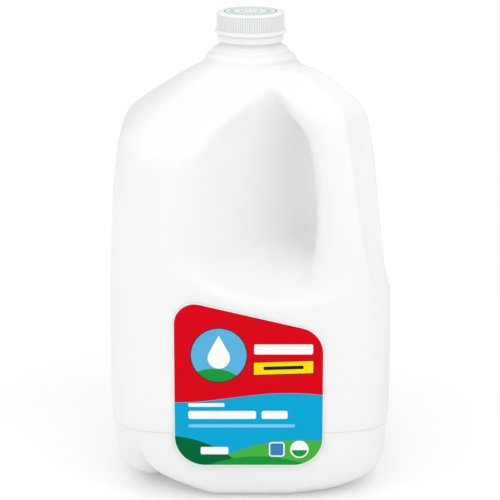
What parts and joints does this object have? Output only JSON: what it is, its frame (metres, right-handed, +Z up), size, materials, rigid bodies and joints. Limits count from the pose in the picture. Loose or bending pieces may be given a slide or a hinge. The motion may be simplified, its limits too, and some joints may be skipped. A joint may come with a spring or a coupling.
{
  "type": "milk jug",
  "caption": "Square-bodied plastic milk jug with a moulded corner handle, a ribbed screw cap and a die-cut front label.",
  "frame": {"origin": "on the neck's axis, at the surface the jug stands on", "axes": "+Z up along the neck, +X from the neck towards the handle's corner, so the XZ plane is the mould's parting plane; the front face with the label looks along (1, -1, 0)"},
  "size_m": [0.1941, 0.1936, 0.2591],
  "materials": {
    "jug_body": "satin, opaque white blow-moulded polyethylene",
    "cap": "satin white injection-moulded plastic",
    "front_label": "satin printed film with a thin white border"
  },
  "bodies": {
    "root": {"jug_body": "jug_body", "cap": "cap", "front_label": "front_label"}
  },
  "joints": []
}
